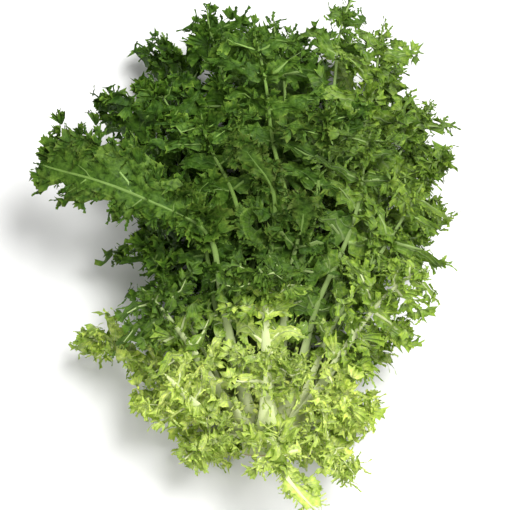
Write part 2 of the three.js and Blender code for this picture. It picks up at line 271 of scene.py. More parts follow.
def leafPoint(leaf, along, across, lift):
    # millimetres along, across and out of a leaf, to a place in the lying head
    radius = leafArc(along, leaf["layer"])[0]
    stretch = layerStretch(along, leaf["layer"])
    uncovered, unbacked = (
        smoothStep(leaf[end], leaf[end] + frill["easeLength"], along) for end in ("coveredTo", "backedTo"))
    rolled = np.maximum(uncovered, 0.5 * smoothStep(20, 70, along))
    out = (lift - frill["roll"] * rolled * cos(leaf["turn"]) * across) / stretch
    outermost = mix(frill["roomShare"] * leaf["outerGap"], frill["furthest"] / stretch, uncovered)
    innermost = mix(frill["roomShare"] * leaf["innerGap"], frill["furthest"] / stretch, unbacked)
    layer = leaf["layer"] + easedWithin(out, -innermost, outermost)
    opened = leaf["opened"] * smoothStep(*openedOver, along)
    turn = leaf["turn"] + leaf["sweep"] * (np.maximum(along, 0) / 200) ** 1.5
    turn = turn + across * np.cos(opened) / radius
    if leaf["ring"] == swing["ring"]:
        away = np.minimum(1, np.abs(np.degrees(turn) - swing["round"]) / swing["halfWidth"])
        share = np.cos(away * pi / 2) ** 2
        turn = turn + radians(swing["most"]) * share * smoothStep(swing["starts"], swing["full"], along)
    point = placeInHead(along, turn, layer)
    point[..., 1] -= across * np.sin(opened)
    point[..., 2] -= leaf["nods"] * (np.maximum(0, along - nodsFrom) / 50) ** 1.5
    return point


def roomAcross(leaf, along):
    return leafArc(along, leaf["layer"])[0] * leaf["sector"] - sectorClearance


def ribHalfWidth(leaf, along):
    half = mix(rib["half"], rib["tipHalf"], along / leaf["length"])
    return np.minimum(half + rib["clasp"] * np.exp(-along / rib["claspLength"]), roomAcross(leaf, along))


def outlineShare(share):
    return mix(0.5, 1, smoothStep(0, 0.6, share)) * (1 - 0.25 * share ** 4)


leafColours = {
    "deep": (0.063, 0.144, 0.013),
    "green": (0.095, 0.192, 0.019),
    "fresh": (0.320, 0.490, 0.052),
    "pale": (0.800, 0.930, 0.215),
    "ribPale": (0.760, 0.790, 0.540),
    "ribGreen": (0.200, 0.320, 0.070),
    "olive": (0.120, 0.110, 0.035),
    "cutFace": (0.640, 0.560, 0.330),
    "neck": (0.500, 0.540, 0.290),
    "neckShade": (0.360, 0.430, 0.170),
    "browned": (0.300, 0.180, 0.070),
}


def startMaterial(name):
    material = bpy.data.materials.new(name)
    material.use_nodes = True
    tree = material.node_tree
    tree.nodes.clear()
    return material, tree


def addNode(tree, kind, settings=None, inputs=None):
    node = tree.nodes.new(kind)
    for key, value in (settings or {}).items():
        setattr(node, key, value)
    for key, value in (inputs or {}).items():
        if isinstance(value, bpy.types.NodeSocket):
            tree.links.new(value, node.inputs[key])
        else:
            node.inputs[key].default_value = value
    return node


def maths(tree, operation, first, second=0.0, third=None, clamp=False):
    inputs = {0: first, 1: second} if third is None else {0: first, 1: second, 2: third}
    return addNode(tree, "ShaderNodeMath", {"operation": operation, "use_clamp": clamp}, inputs).outputs[0]


def blend(tree, share, first, second, mode="MIX"):
    first, second = ((*colour, 1) if isinstance(colour, tuple) else colour for colour in (first, second))
    settings = {"data_type": "RGBA", "blend_type": mode}
    return addNode(tree, "ShaderNodeMix", settings, {0: share, 6: first, 7: second}).outputs[2]


def noise(tree, scale, detail=2.0, roughness=0.5, at=None):
    at = at or addNode(tree, "ShaderNodeTexCoord").outputs["Object"]
    inputs = {"Vector": at, "Scale": scale, "Detail": detail, "Roughness": roughness}
    return addNode(tree, "ShaderNodeTexNoise", inputs=inputs).outputs[0]


def shaded(tree, colour, red, green, blue):
    tint = addNode(tree, "ShaderNodeCombineColor", inputs={0: red, 1: green, 2: blue}).outputs[0]
    return blend(tree, 1.0, colour, tint, "MULTIPLY")


def closeMaterial(tree, look, colour, height=None, glow=None):
    # the surface with its bump, then any light let through, then the output
    body = {"Base Color": colour, "Roughness": look["roughness"], "Specular IOR Level": look["shine"]}
    if height is not None:
        bump = {"Strength": look["bump"], "Distance": look["bumpDepth"], "Height": height}
        body["Normal"] = addNode(tree, "ShaderNodeBump", inputs=bump).outputs[0]
    surface = addNode(tree, "ShaderNodeBsdfPrincipled", inputs=body).outputs[0]
    if glow is not None:
        inputs = {"Color": glow, "Normal": body["Normal"]} if look["bumpedGlow"] else {"Color": glow}
        through = addNode(tree, "ShaderNodeBsdfTranslucent", inputs=inputs).outputs[0]
        inputs = {0: look["through"], 1: surface, 2: through}
        surface = addNode(tree, "ShaderNodeMixShader", inputs=inputs).outputs[0]
    addNode(tree, "ShaderNodeOutputMaterial", inputs={0: surface})


def readNumber(tree, name):
    return addNode(tree, "ShaderNodeAttribute", {"attribute_name": name}).outputs["Fac"]


bladeLook = {
    # painted light: the margins of green leaves are painted lighter and yellower, as the light they catch
    "marginLight": 0.36,
    "marginGreen": 0.22,  # how much greener the margin of a pale leaf is
    # painted shade deep in a frill, and the slight painted light at its margin
    "insideShade": 0.56,
    "openShade": 1.06,
    "mottles": 90.0,
    "crinkles": 330.0,
    "foldShade": 3.0,
    "warmth": 1.35,
    "vein": (0.14, 0.54),  # how much of a vein's colour shows on a green leaf and on a pale one
    "glow": (0.42, 0.62, 0.06),
    "shine": 0.16,
    "bump": 0.8,
    "bumpDepth": 0.0012,
    "bumpedGlow": True,
}
bladeStops = ((0.0, "deep"), (0.3, "green"), (0.65, "fresh"), (1.0, "pale"))


def bladeMaterial(name, roughness, through):
    look = {**bladeLook, "roughness": roughness, "through": through}
    material, tree = startMaterial(name)
    do = partial(maths, tree)
    words = ("pale", "rim", "tone", "browning", "veinRun")
    pale, rim, tone, browning, veinRun = (readNumber(tree, word) for word in words)

    def less(amount, clamp=False):
        return do("SUBTRACT", 1.0, amount, clamp=clamp)

    greener = less(do("MULTIPLY", do("POWER", rim, 3.0), look["marginGreen"]))
    # painted highlight on the margins of green leaves, fading out on pale ones
    edge = do("MULTIPLY", do("POWER", rim, 3.0), do("SUBTRACT", look["marginLight"], pale, clamp=True))
    ramp = addNode(tree, "ShaderNodeValToRGB", inputs={0: do("ADD", do("MULTIPLY", pale, greener), edge)})
    while len(ramp.color_ramp.elements) < len(bladeStops):
        ramp.color_ramp.elements.new(0.5)
    for element, (at, word) in zip(ramp.color_ramp.elements, bladeStops):
        element.position = at
        element.color = (*leafColours[word], 1)

    # mottling of the leaf's own colour, its dark patches made strong enough to stand also as painted shade in
    # small hollows
    mottleAndPaintedHollows = do("MULTIPLY_ADD", noise(tree, look["mottles"], 5.0, 0.6), 1.3, 0.37)
    # fine crinkles with painted shade in their folds, weaker where the leaf is pale
    crinkle = noise(tree, look["crinkles"], 3.0, 0.6)
    paintedFoldFactor = do("MULTIPLY_ADD", crinkle, look["foldShade"], 1 - 0.5 * look["foldShade"])
    mottleAndPaintedShade = do("SUBTRACT", do("MULTIPLY", mottleAndPaintedHollows, paintedFoldFactor), 1.0)
    mottleAndPaintedShade = do("MULTIPLY_ADD", mottleAndPaintedShade, less(do("MULTIPLY", pale, 0.55)), 1.0)
    shade = do("MULTIPLY", mottleAndPaintedShade, tone)
    # painted shade: the inside of a frill is painted darker than its margin, as the shade deep in it, less so
    # where it is pale; the margin is painted slightly lighter
    inside = do("MULTIPLY", less(do("POWER", rim, 1.2)), less(do("MULTIPLY", pale, 0.85)))
    paintedInsideDarkening = do("MULTIPLY", inside, look["insideShade"])
    shade = do("MULTIPLY", shade, do("SUBTRACT", look["openShade"], paintedInsideDarkening))
    # painted shade is tinted a deeper green and painted light a yellower one, as is the random tone of each
    # frill
    warmth = do("POWER", shade, look["warmth"])
    colour = shaded(tree, ramp.outputs[0], warmth, shade, warmth)

    # a vein runs out to each tooth and fades before its tip
    crest = do("ABSOLUTE", do("SINE", veinRun))
    vein = do("MULTIPLY", do("POWER", crest, 12.0), less(do("POWER", rim, 2.0)))
    veinColour = blend(tree, pale, leafColours["ribGreen"], leafColours["ribPale"])
    veinShare = do("MULTIPLY_ADD", pale, look["vein"][1] - look["vein"][0], look["vein"][0])
    colour = blend(tree, do("MULTIPLY", vein, veinShare), colour, veinColour)
    nearRib = do("POWER", less(rim, True), 2.5)
    colour = blend(tree, do("MULTIPLY", nearRib, veinShare), colour, veinColour)
    colour = blend(tree, do("MULTIPLY", browning, do("POWER", rim, 4.0)), colour, leafColours["olive"])
    glow = blend(tree, 0.5, colour, look["glow"])
    closeMaterial(tree, look, colour, do("MULTIPLY_ADD", vein, 0.5, crinkle), glow)
    return material


ribLook = {"fibres": 26.0, "fibreShare": 0.55, "clouds": 70.0, "cloudShade": (0.82, 0.35), "roughness": 0.46,
           "shine": 0.3, "bump": 0.5, "bumpDepth": 0.0006, "through": 0.14, "bumpedGlow": False}


def ribMaterial(name):
    material, tree = startMaterial(name)
    pale, tone = readNumber(tree, "pale"), readNumber(tree, "tone")
    # fibres run along the rib
    run = addNode(tree, "ShaderNodeUVMap", {"uv_map": "ribRun"}).outputs[0]
    lined = addNode(tree, "ShaderNodeMapping", inputs={"Vector": run, "Scale": (0.06, ribLook["fibres"], 1.0)})
    fibres = noise(tree, 1.6, 4.0, 0.65, lined.outputs[0])
    base = blend(tree, pale, leafColours["ribGreen"], leafColours["ribPale"])
    greener = blend(tree, pale, leafColours["green"], leafColours["pale"])
    colour = blend(tree, maths(tree, "MULTIPLY", fibres, ribLook["fibreShare"]), base, greener)
    darkest, spread = ribLook["cloudShade"]
    shade = maths(tree, "MULTIPLY_ADD", noise(tree, ribLook["clouds"], 3.0), spread, darkest)
    shade = maths(tree, "MULTIPLY", shade, tone)
    colour = shaded(tree, colour, shade, shade, shade)
    closeMaterial(tree, ribLook, colour, fibres, colour)
    return material


stemLook = {"flecks": 240.0, "rings": 26.0, "ringShade": 0.16, "roughness": 0.6, "shine": 0.3, "bump": 0.6,
            "bumpDepth": 0.0008}


def stemMaterial():
    material, tree = startMaterial("cutStemFlesh")
    do = partial(maths, tree)
    cut, pith = readNumber(tree, "cut"), readNumber(tree, "pith")
    fleck = noise(tree, stemLook["flecks"], 5.0, 0.7)
    # faint uneven rings in the cut face, browned at its rim
    ringed = do("SINE", do("MULTIPLY_ADD", fleck, 5.0, do("MULTIPLY", pith, stemLook["rings"])))
    ringShare = do("MULTIPLY", do("MULTIPLY_ADD", ringed, 0.5, 0.5), stemLook["ringShade"])
    face = blend(tree, ringShare, leafColours["cutFace"], leafColours["browned"])
    face = blend(tree, do("POWER", pith, 7.0), face, leafColours["browned"])
    outside = blend(tree, fleck, leafColours["neck"], leafColours["neckShade"])
    closeMaterial(tree, stemLook, blend(tree, cut, outside, face), fleck)
    return material


blades = {
    "deep": bladeMaterial("deepGreenBlade", 0.5, 0.28),
    "green": bladeMaterial("greenBlade", 0.5, 0.3),
    "fresh": bladeMaterial("freshBlade", 0.48, 0.36),
    "pale": bladeMaterial("blanchedBlade", 0.46, 0.44),
}
midribs = ribMaterial("midribFlesh")
stemFlesh = stemMaterial()
print("finishes mixed")

wholeTurn = 6.28  # phases of waves are drawn within it

# a narrow frill: its width over its length, curl of the tip, fold, twist and how its teeth lift
ribbonLook = {
    "width": (0.42, 0.36, 0.5, 0.38, 0.32, 0.46, 0.36, 0.42),
    "curl": (0.35, -0.4, 0.65, 0.1, 0.5, -0.2, 0.9, 0.2),
    "fold": (0.3, 0.2, 0.1, 0.35, 0.25, 0.15, 0.3, 0.4),
    "twist": (0.5, -0.7, 0.3, 0.9, -0.4, 0.8, -0.9, 0.1),
    "lift": (0.1, 0.12, 0.14, 0.1, 0.12, 0.1, 0.08, 0.15),
    "stations": 7,
    "toothDepth": 0.55,
    "toothReach": 0.09,
    "downLift": -0.7,  # how far every other tooth goes down where the rest lift by 1
    "thickness": 0.03,
}
# a spread frill: its teeth, half opening, cup, waves and how its teeth lift
fanLook = {
    "teeth": (5, 6, 5),
    "opening": (54, 74, 62),
    "cup": (0.5, 0.1, -0.4),
    "wave": (0.34, 0.4, 0.38),
    "seesaw": (0.12, 0.1, 0.13),
    "rows": (0, 0.52, 1),
    "baseHalf": 0.12,
    "notch": 0.7,
    "hook": 0.1,
    "thickness": 0.03,
}
longFanLook = {
    **fanLook,
    "teeth": (5, 6, 5),
    "opening": (22, 27, 19),
    "cup": (0.2, -0.15, 0.35),
    "wave": (0.06, 0.09, 0.05),
    "seesaw": (0.1, 0.1, 0.12),
    "rows": (0, 0.4, 0.72, 1),
    "baseHalf": 0.06,
    "notch": 0.84,
}
webLook = {"tipShare": (0.34, 0.3, 0.42), "toothDepth": 0.34, "columns": 4, "rows": 9, "thickness": 0.02,
           "bow": 0.12, "sway": 0.12, "waved": 0.16}
spurLook = {"sides": 6, "stations": (0, 0.3, 0.65, 1), "tipShare": 0.3}


def writeNumbers(mesh, numbers, kind="FLOAT", key="value"):
    for name, values in numbers.items():
        flat = np.asarray(values, np.int32 if kind == "INT" else np.float32).ravel()
        mesh.attributes.new(name, kind, "POINT").data.foreach_set(key, flat)


def readAll(items, key, each=1, kind=np.float32):
    values = np.empty(each * len(items), kind)
    items.foreach_get(key, values)
    return values


def writeMesh(name, points, faces, numbers=None, materials=(), slots=None):
    mesh = bpy.data.meshes.new(name)
    mesh.from_pydata(points, [], faces)
    writeNumbers(mesh, numbers or {})
    for material in materials:
        mesh.materials.append(material)
    if slots is not None:
        mesh.polygons.foreach_set("material_index", np.asarray(slots, np.int32))
    return mesh


def tubeFaces(rows, sides, firstRow=0):
    # quads round a tube of rings, row after row
    faces = []
    for low in range(firstRow * sides, (rows - 1) * sides, sides):
        for at in range(sides):
            following = (at + 1) % sides
            faces.append((low + at, low + following, low + sides + following, low + sides + at))
    return faces


def lens(middle, lift, numbers):
    # two skins over one sheet of points, meeting in a thin edge all round
    rows, columns = middle.shape[:2]
    front = np.arange(rows * columns).reshape(rows, columns)
    back = front.copy()
    back[1:-1, 1:-1] = front.size + np.arange((rows - 2) * (columns - 2)).reshape(rows - 2, columns - 2)
    faces = []
    for row in range(rows - 1):
        for column in range(columns - 1):
            square = ((row, column), (row, column + 1), (row + 1, column + 1), (row + 1, column))
            faces.append(tuple(int(front[corner]) for corner in square))
            faces.append(tuple(int(back[corner]) for corner in reversed(square)))
    inner, lift = back >= front.size, np.broadcast_to(lift, middle.shape)
    points = np.concatenate([(middle + lift * inner[..., None]).reshape(-1, 3), (middle - lift)[inner]])
    numbers = {key: np.concatenate([values.ravel(), values[inner]]) for key, values in numbers.items()}
    return points, faces, numbers


def facesOut(points, faces):
    # turns every face over if the closed mesh is inside out
    volume = 0
    for face in faces:
        for at in range(1, len(face) - 1):
            volume += np.dot(points[face[0]], np.cross(points[face[at]], points[face[at + 1]]))
    return faces if volume > 0 else [tuple(reversed(face)) for face in faces]


def sheet(middle, lift, numbers):
    points, faces, numbers = lens(middle, lift, numbers)
    return points, np.array(facesOut(points, faces)), numbers


def lensMesh(name, place, rise, rim, veinRun):
    middle = np.stack(np.broadcast_arrays(*place), axis=-1)
    numbers = {"rim": rim, "veinRun": veinRun}
    numbers = {key: np.broadcast_to(values, middle.shape[:2]) for key, values in numbers.items()}
    return writeMesh(name, *lens(middle, rise[..., None] * np.array([0, 0, 1]), numbers))


def ribbonMesh(shape):
    look, random = ribbonLook, np.random.default_rng(shape + 70)
    count = look["stations"]
    share, ray = np.linspace(0, 1, count)[:, None], np.array([-1, 0, 1])[None, :]
    isTooth = (np.arange(count) % 2 == 1)[:, None] * np.abs(ray)
    outline = mix(0.4, 1, smoothStep(0, 0.4, share)) * (1 - 0.5 * share ** 3)
    outline[-1] = 0.1
    toothed, notched = random.uniform(0.85, 1.2, (count, 3)), random.uniform(0.8, 1.1, (count, 3))
    ragged = np.where(isTooth > 0, toothed, 1 - look["toothDepth"] * notched)
    half = 0.5 * look["width"][shape] * outline * np.where(ray == 0, 1, ragged)
    angle = look["twist"][shape] * share
    x = ray * half * np.cos(angle)
    y = share + look["toothReach"] * isTooth
    z = look["curl"][shape] * y ** 2 + ray * half * np.sin(angle) + look["fold"][shape] * np.abs(ray) * half
    upDown = np.where(np.arange(count) % 4 == 1, 1, look["downLift"])[:, None]
    z = z + look["lift"][shape] * isTooth * upDown * share ** 0.5
    rim, veinRun = 0.3 * np.abs(ray) + 0.7 * share, pi / 2 + 2.2 * ray
    return lensMesh(f"ribbon{shape}", (x, y, z), look["thickness"] * (1.1 - share), rim, veinRun)


def fanMesh(look, shape, name):
    random = np.random.default_rng(shape + 5)
    teeth = look["teeth"][shape]
    columns = 2 * teeth + 1
    ray = np.linspace(-1, 1, columns)
    isTooth = np.arange(columns) % 2 == 1
    toothed, notched = random.uniform(0.82, 1.06, columns), random.uniform(0.85, 1.15, columns)
    reach = np.where(isTooth, toothed, look["notch"] * notched)
    reach[[0, -1]] = 0.55
    share = np.array(look["rows"])[:, None]
    radius = share * mix(reach.mean(), reach[None, :], share ** 1.5)
    spread = ray + random.uniform(-0.5, 0.5, columns) * isTooth / columns
    angle = radians(look["opening"][shape]) * spread[None, :]
    x = look["baseHalf"] * ray[None, :] * (1 - 0.4 * share) + radius * np.sin(angle)
    y = radius * np.cos(angle)
    z = look["cup"][shape] * radius ** 2 + look["wave"][shape] * radius ** 1.4 * np.sin(
        (2.2 + 0.5 * (shape % 3)) * angle * 1.6 + random.uniform(0, wholeTurn))
    upDown = np.where(np.arange(columns) % 4 == 1, 1, -1) * isTooth * look["seesaw"][shape]
    hooked = random.uniform(-1, 1, columns) * isTooth
    z = z + share ** 1.8 * upDown[None, :] + look["hook"] * share ** 5 * hooked[None, :]
    veinRun = pi / 2 * teeth * (ray + 1)[None, :]
    return lensMesh(f"{name}{shape}", (x, y, z), look["thickness"] * (1.1 - share), share, veinRun)


def webMesh(shape):
    look, random = webLook, np.random.default_rng(shape + 50)
    count = look["rows"] + 1
    ray = np.linspace(-1, 1, look["columns"] + 1)[None, :]
    share = np.linspace(0, 1, count)[:, None]
    cut = 1 - look["toothDepth"] * (np.arange(count) % 2 == 0)[:, None] * np.abs(ray) ** 3
    half = 0.5 * mix(1, look["tipShare"][shape], share ** 0.7) * random.uniform(0.85, 1.15, (count, 1))
    bow = random.uniform(-look["bow"], look["bow"]) * np.sin(pi * share)
    x, y = ray * half * cut + bow, share + 0.06 * np.abs(ray) ** 3
    z = look["sway"] * np.sin(wholeTurn * share + random.uniform(0, wholeTurn)) * share
    z = z + look["waved"] * ray ** 2 * np.sin(11 * share + shape)
    rim, veinRun = 0.34 + 0.5 * np.abs(ray), pi / 2 + 4.7 * (ray + 0.5 * share * ray)
    return lensMesh(f"web{shape}", (x, y, z), look["thickness"] * (1.4 - share), rim, veinRun)


def spurMesh():
    # a side rib: a tapering rod, closed by two quads at each end
    sides, stations = spurLook["sides"], spurLook["stations"]
    turn = np.linspace(0, 2 * pi, sides, endpoint=False)
    rings = []
    for share in stations:
        half = 0.5 * mix(1, spurLook["tipShare"], share)
        rings.append(np.stack([half * np.cos(turn), np.full(sides, share), half * np.sin(turn)], axis=1))
    faces = [(0, 1, 2, 3), (3, 4, 5, 0)]
    last = (len(stations) - 1) * sides
    faces += [tuple(last + corner for corner in reversed(face)) for face in faces]
    faces += [(a, d, c, b) for a, b, c, d in tubeFaces(len(stations), sides)]
    zeros = np.zeros(len(stations) * sides)
    return writeMesh("spur", np.concatenate(rings), faces, {"rim": zeros, "veinRun": zeros})


shapeShelf = bpy.data.collections.new("frillShapes")
bpy.context.scene.collection.children.link(shapeShelf)
shapeMeshes = [ribbonMesh(at) for at in range(len(ribbonLook["width"]))]
shapeMeshes += [fanMesh(fanLook, at, "fan") for at in range(len(fanLook["teeth"]))]
firstLongFan = len(shapeMeshes)
shapeMeshes += [fanMesh(longFanLook, at, "longFan") for at in range(len(longFanLook["teeth"]))]
firstWeb = len(shapeMeshes)
shapeMeshes += [webMesh(at) for at in range(len(webLook["tipShare"]))]
spurShape = len(shapeMeshes)
shapeMeshes.append(spurMesh())
for at, mesh in enumerate(shapeMeshes):
    shapeShelf.objects.link(bpy.data.objects.new(f"shape{at:02d}", mesh))
print("frill shapes cut:", len(shapeMeshes))


def frillsOnLobesTree():
    # sets a frill or web on every point, picked, sized and turned as the point says
    tree = bpy.data.node_groups.new("frillsOnLobes", "GeometryNodeTree")
    for name, kind in (("Lobe Points", "Geometry"), ("Frill Shapes", "Collection"),
                       ("Fullness", "Float"), ("Finish", "Material")):
        tree.interface.new_socket(name, in_out="INPUT", socket_type="NodeSocket" + kind)
    tree.interface.new_socket("Frills", in_out="OUTPUT", socket_type="NodeSocketGeometry")
    given = addNode(tree, "NodeGroupInput").outputs
    shape, size, turned = (
        addNode(tree, "GeometryNodeInputNamedAttribute", {"data_type": kind}, {"Name": name}).outputs[0]
        for name, kind in (("shape", "INT"), ("size", "FLOAT_VECTOR"), ("turned", "FLOAT_VECTOR")))
    shapes = addNode(tree, "GeometryNodeCollectionInfo", inputs={
        "Collection": given["Frill Shapes"], "Separate Children": True, "Reset Children": True})
    full = addNode(tree, "ShaderNodeVectorMath", {"operation": "SCALE"}, {0: size, "Scale": given["Fullness"]})
    instances = addNode(tree, "GeometryNodeInstanceOnPoints", inputs={
        "Points": given["Lobe Points"], "Instance": shapes.outputs[0],
        "Pick Instance": True, "Instance Index": shape,
        "Rotation": addNode(tree, "FunctionNodeEulerToRotation", inputs={0: turned}).outputs[0],
        "Scale": full.outputs[0]})
    plain = addNode(tree, "GeometryNodeRealizeInstances", inputs={0: instances.outputs[0]})
    inputs = {"Geometry": plain.outputs[0], "Material": given["Finish"]}
    finished = addNode(tree, "GeometryNodeSetMaterial", inputs=inputs)
    addNode(tree, "NodeGroupOutput", inputs={0: finished.outputs[0]})
    return tree


frillTree = frillsOnLobesTree()


def runTree(tree, points, values):
    # the tree's result for a mesh of points, as a plain mesh
    carrier = placed("lobePoints", points)
    modifier = carrier.modifiers.new("growth", "NODES")
    modifier.node_group = tree
    for item in tree.interface.items_tree:
        if item.in_out == "INPUT" and item.name in values:
            modifier[item.identifier] = values[item.name]
    result = bpy.data.meshes.new_from_object(carrier.evaluated_get(bpy.context.evaluated_depsgraph_get()))
    bpy.data.objects.remove(carrier)
    return result


leafLook = {
    "spurs": 2,  # small lobes on each side of the leaf stalk
    "webShare": (1.0, 0.62),  # a web's width over the distance to the next lobe, where covered and where bare
    "underWebShare": 1.25,
    "webLength": 0.85,
    "frillShare": 0.3,  # a frill's length over its lobe's, kept within frillLength
    "frillLength": (3.8, 8),
    "lobeFrills": (2, 17),  # on a covered lobe and on a bare one
    "smallLobes": ((7, 4), (11, 5)),  # lobes shorter than this many mm have this many frills
    "fullness": 1.0,  # size of every web, side rib and frill over its planned size
    "longFanShare": 0.25,
    "besideRib": {"pale": 3, "fresh": 4, "green": 3, "deep": 3},
    "marginShare": 0.36,  # how far from the middle of its web a frill stands, over the web's width
    "aside": (78, 22),  # how far a frill points away from its lobe, at the lobe's root and tip, degrees
    "strayAside": (-20, 20),
    "raised": (10, 60),
    "lowered": (-45, 20),
    "rolled": (-40, 40),
    "rolledLess": (-30, 30),
    "tones": {"pale": (0.85, 1.13), "other": (0.76, 1.24)},
    "ruffle": 2.4,
    "sideRib": 1.5,
    "ribShare": 0.55,
}
# leaves whose end is one open waved blade: where it starts, its half widths, how far it waves and how
# long its frills are, in mm, and how long its fans are over its half width
openBlades = {
    "outer_leaf_4": {
        "start": 102, "lower": 13, "upper": 24, "wave": 5, "tone": 0.98, "fringe": 7.5, "fans": 16 / 23,
        "rows": (0.98, 0.86, 0.7, 0.5, 0.3),
        # along, side, length and heading in degrees
        "sideRibs": ((157, 1, 20, 78), (140, -1, 20, 52), (163, -1, 19, 48),
                     (184, -1, 14, 42), (186, 1, 10, 50), (128, 1, 12, 70))},
    "outer_leaf_3": {
        "start": 96, "lower": 9, "upper": 12, "wave": 2.5, "tone": 0.9, "fringe": 5, "rows": (0.95, 0.7)},
    "full_leaf_3": {
        "start": 126, "lower": 9, "upper": 11, "wave": 3, "tone": 0.9, "fringe": 5.5, "rows": (0.95, 0.75)},
    "droop_leaf_2": {
        "start": 50, "lower": 9, "upper": 9, "wave": 1.5, "tone": 0.92, "fringe": 5, "rows": (0.95, 0.75)},
}
# stalks that show, with no lobe before this many mm
bareStalks = {"skirt_leaf_2": 26, "low_leaf_2": 44}
# the leaf whose frills hang over the cut: how many along it, how many behind its root, and how long
hangsOverCut = {"leaf": "droop_leaf_2", "count": 60, "backCount": 9, "length": (8, 14)}
# sprays that fill a gap in the head or stand out from it: along, across, heading in degrees, length
extraSprays = {
    "inner_leaf_2": ((205, 3, 40, 15), (212, 14, 80, 13), (238, 4, 40, 13)),
    "tall_leaf_1": ((209, 3, 40, 14),),
    "low_leaf_4": ((78, 8, 60, 14),),
    "low_leaf_2": ((80, -3, -35, 14), (52, -13, -70, 12)),
    "droop_leaf_2": ((42, -4, -75, 13),),
    "skirt_leaf_1": ((44, 8, 30, 14),),
    "outer_leaf_4": ((207, -16, -95, 11), (207, -25, -90, 9), (192, -20, -95, 12), (190, -30, -95, 9)),
}


def turnedTo(heading, pitch, roll):
    # a frill's own +Y to the heading in the leaf, its tip raised by the pitch, then rolled on its length
    flat, raised, rolled = (
        Matrix.Rotation(angle, 3, axis) for angle, axis in ((heading - pi / 2, "Z"), (pitch, "X"), (roll, "Y")))
    return tuple((flat @ raised @ rolled).to_euler())


def lobesOfLeaf(leaf):
    # the same draws, in the same order, as the leaf's solid
    random, fine = leaf["random"], np.random.default_rng(leaf["seed"])
    tipLength = max(12, 0.075 * leaf["length"])
    bladeEnd = leaf["length"] - tipLength
    pitch = (bladeEnd - leaf["petioleEnd"]) / leaf["lobes"]
    lobes = []

    def add(along, side, half, wide, reach, thrown, forward):
        lobes.append({"along": along, "side": side, "half": half, "wide": wide, "reach": reach,
                      "thrown": thrown, "forward": forward})

    for side in (1, -1):
        for number in range(leaf["lobes"]):
            middle = leaf["petioleEnd"] + pitch * (number + 0.5)
            half = float(ribHalfWidth(leaf, leaf["petioleEnd"] + pitch * number))
            width = leaf["width"] * (leaf["lowerShare"] if side > 0 else 1)
            wanted = width * outlineShare((number + 0.5) / leaf["lobes"]) * mix(0.82, 1.12, next(random))
            furthest = middle + leaf["lobeLean"] * wanted * 0.6
            reach = max(2.5, min(wanted, roomAcross(leaf, furthest)) - half)
            thrown = (1 if number % 2 else -1) * side * mix(0.55, 1, next(random))
            next(random)
            add(middle, side, half, pitch, reach, thrown, leaf["lobeLean"] * reach)
        for number in range(leafLook["spurs"]):
            along = leaf["petioleEnd"] * (number + 0.9) / leafLook["spurs"] - 1
            half = float(ribHalfWidth(leaf, along))
            wanted = 4 + 5 * (number + 1) / leafLook["spurs"]
            reach = max(1.5, min(wanted, float(roomAcross(leaf, along)) - half))
            wide = 0.7 * leaf["petioleEnd"] / leafLook["spurs"]
            add(along, side, half, wide, reach, fine.uniform(-0.6, 0.6), 0.3 * reach)
        spread = min(leaf["width"] * 0.5, float(roomAcross(leaf, bladeEnd))) * mix(0.8, 1.1, next(random))
        lift = mix(-0.8, 0.8, next(random))
        if side > 0:
            apexLift = mix(-0.7, 0.7, next(random))
        add(bladeEnd + 0.1 * tipLength, side, 1, tipLength, spread, lift, 0.5 * spread)
    add(bladeEnd - 1, 0, 0, 12, tipLength, apexLift, 0)
    return lobes


def ruffled(leaf, along, across, lift):
    # small waves in all three directions, none at the rib itself
    a, b, c, d, e, f = np.random.default_rng(leaf["seed"] + 7).uniform(0, wholeTurn, 6)
    free = leafLook["ruffle"] * smoothStep(2, 12, np.abs(across) + np.maximum(0, along - leaf["length"] + 12))
    slow = 1.5 * free * np.sin(along * 0.36 + d) * np.sin(across * 0.33 + e)
    quick = 0.6 * free * np.sin(along * 0.7 + across * 0.5 + f)
    return (
        along + free * np.sin(across * 0.42 + lift * 0.3 + a) * np.cos(along * 0.16 + b),
        across + 0.7 * free * np.sin(along * 0.38 + lift * 0.25 + c),
        lift + slow + quick)


def bladePoint(leaf, chart):
    return leafPoint(leaf, *ruffled(leaf, *np.asarray(chart, float).T))


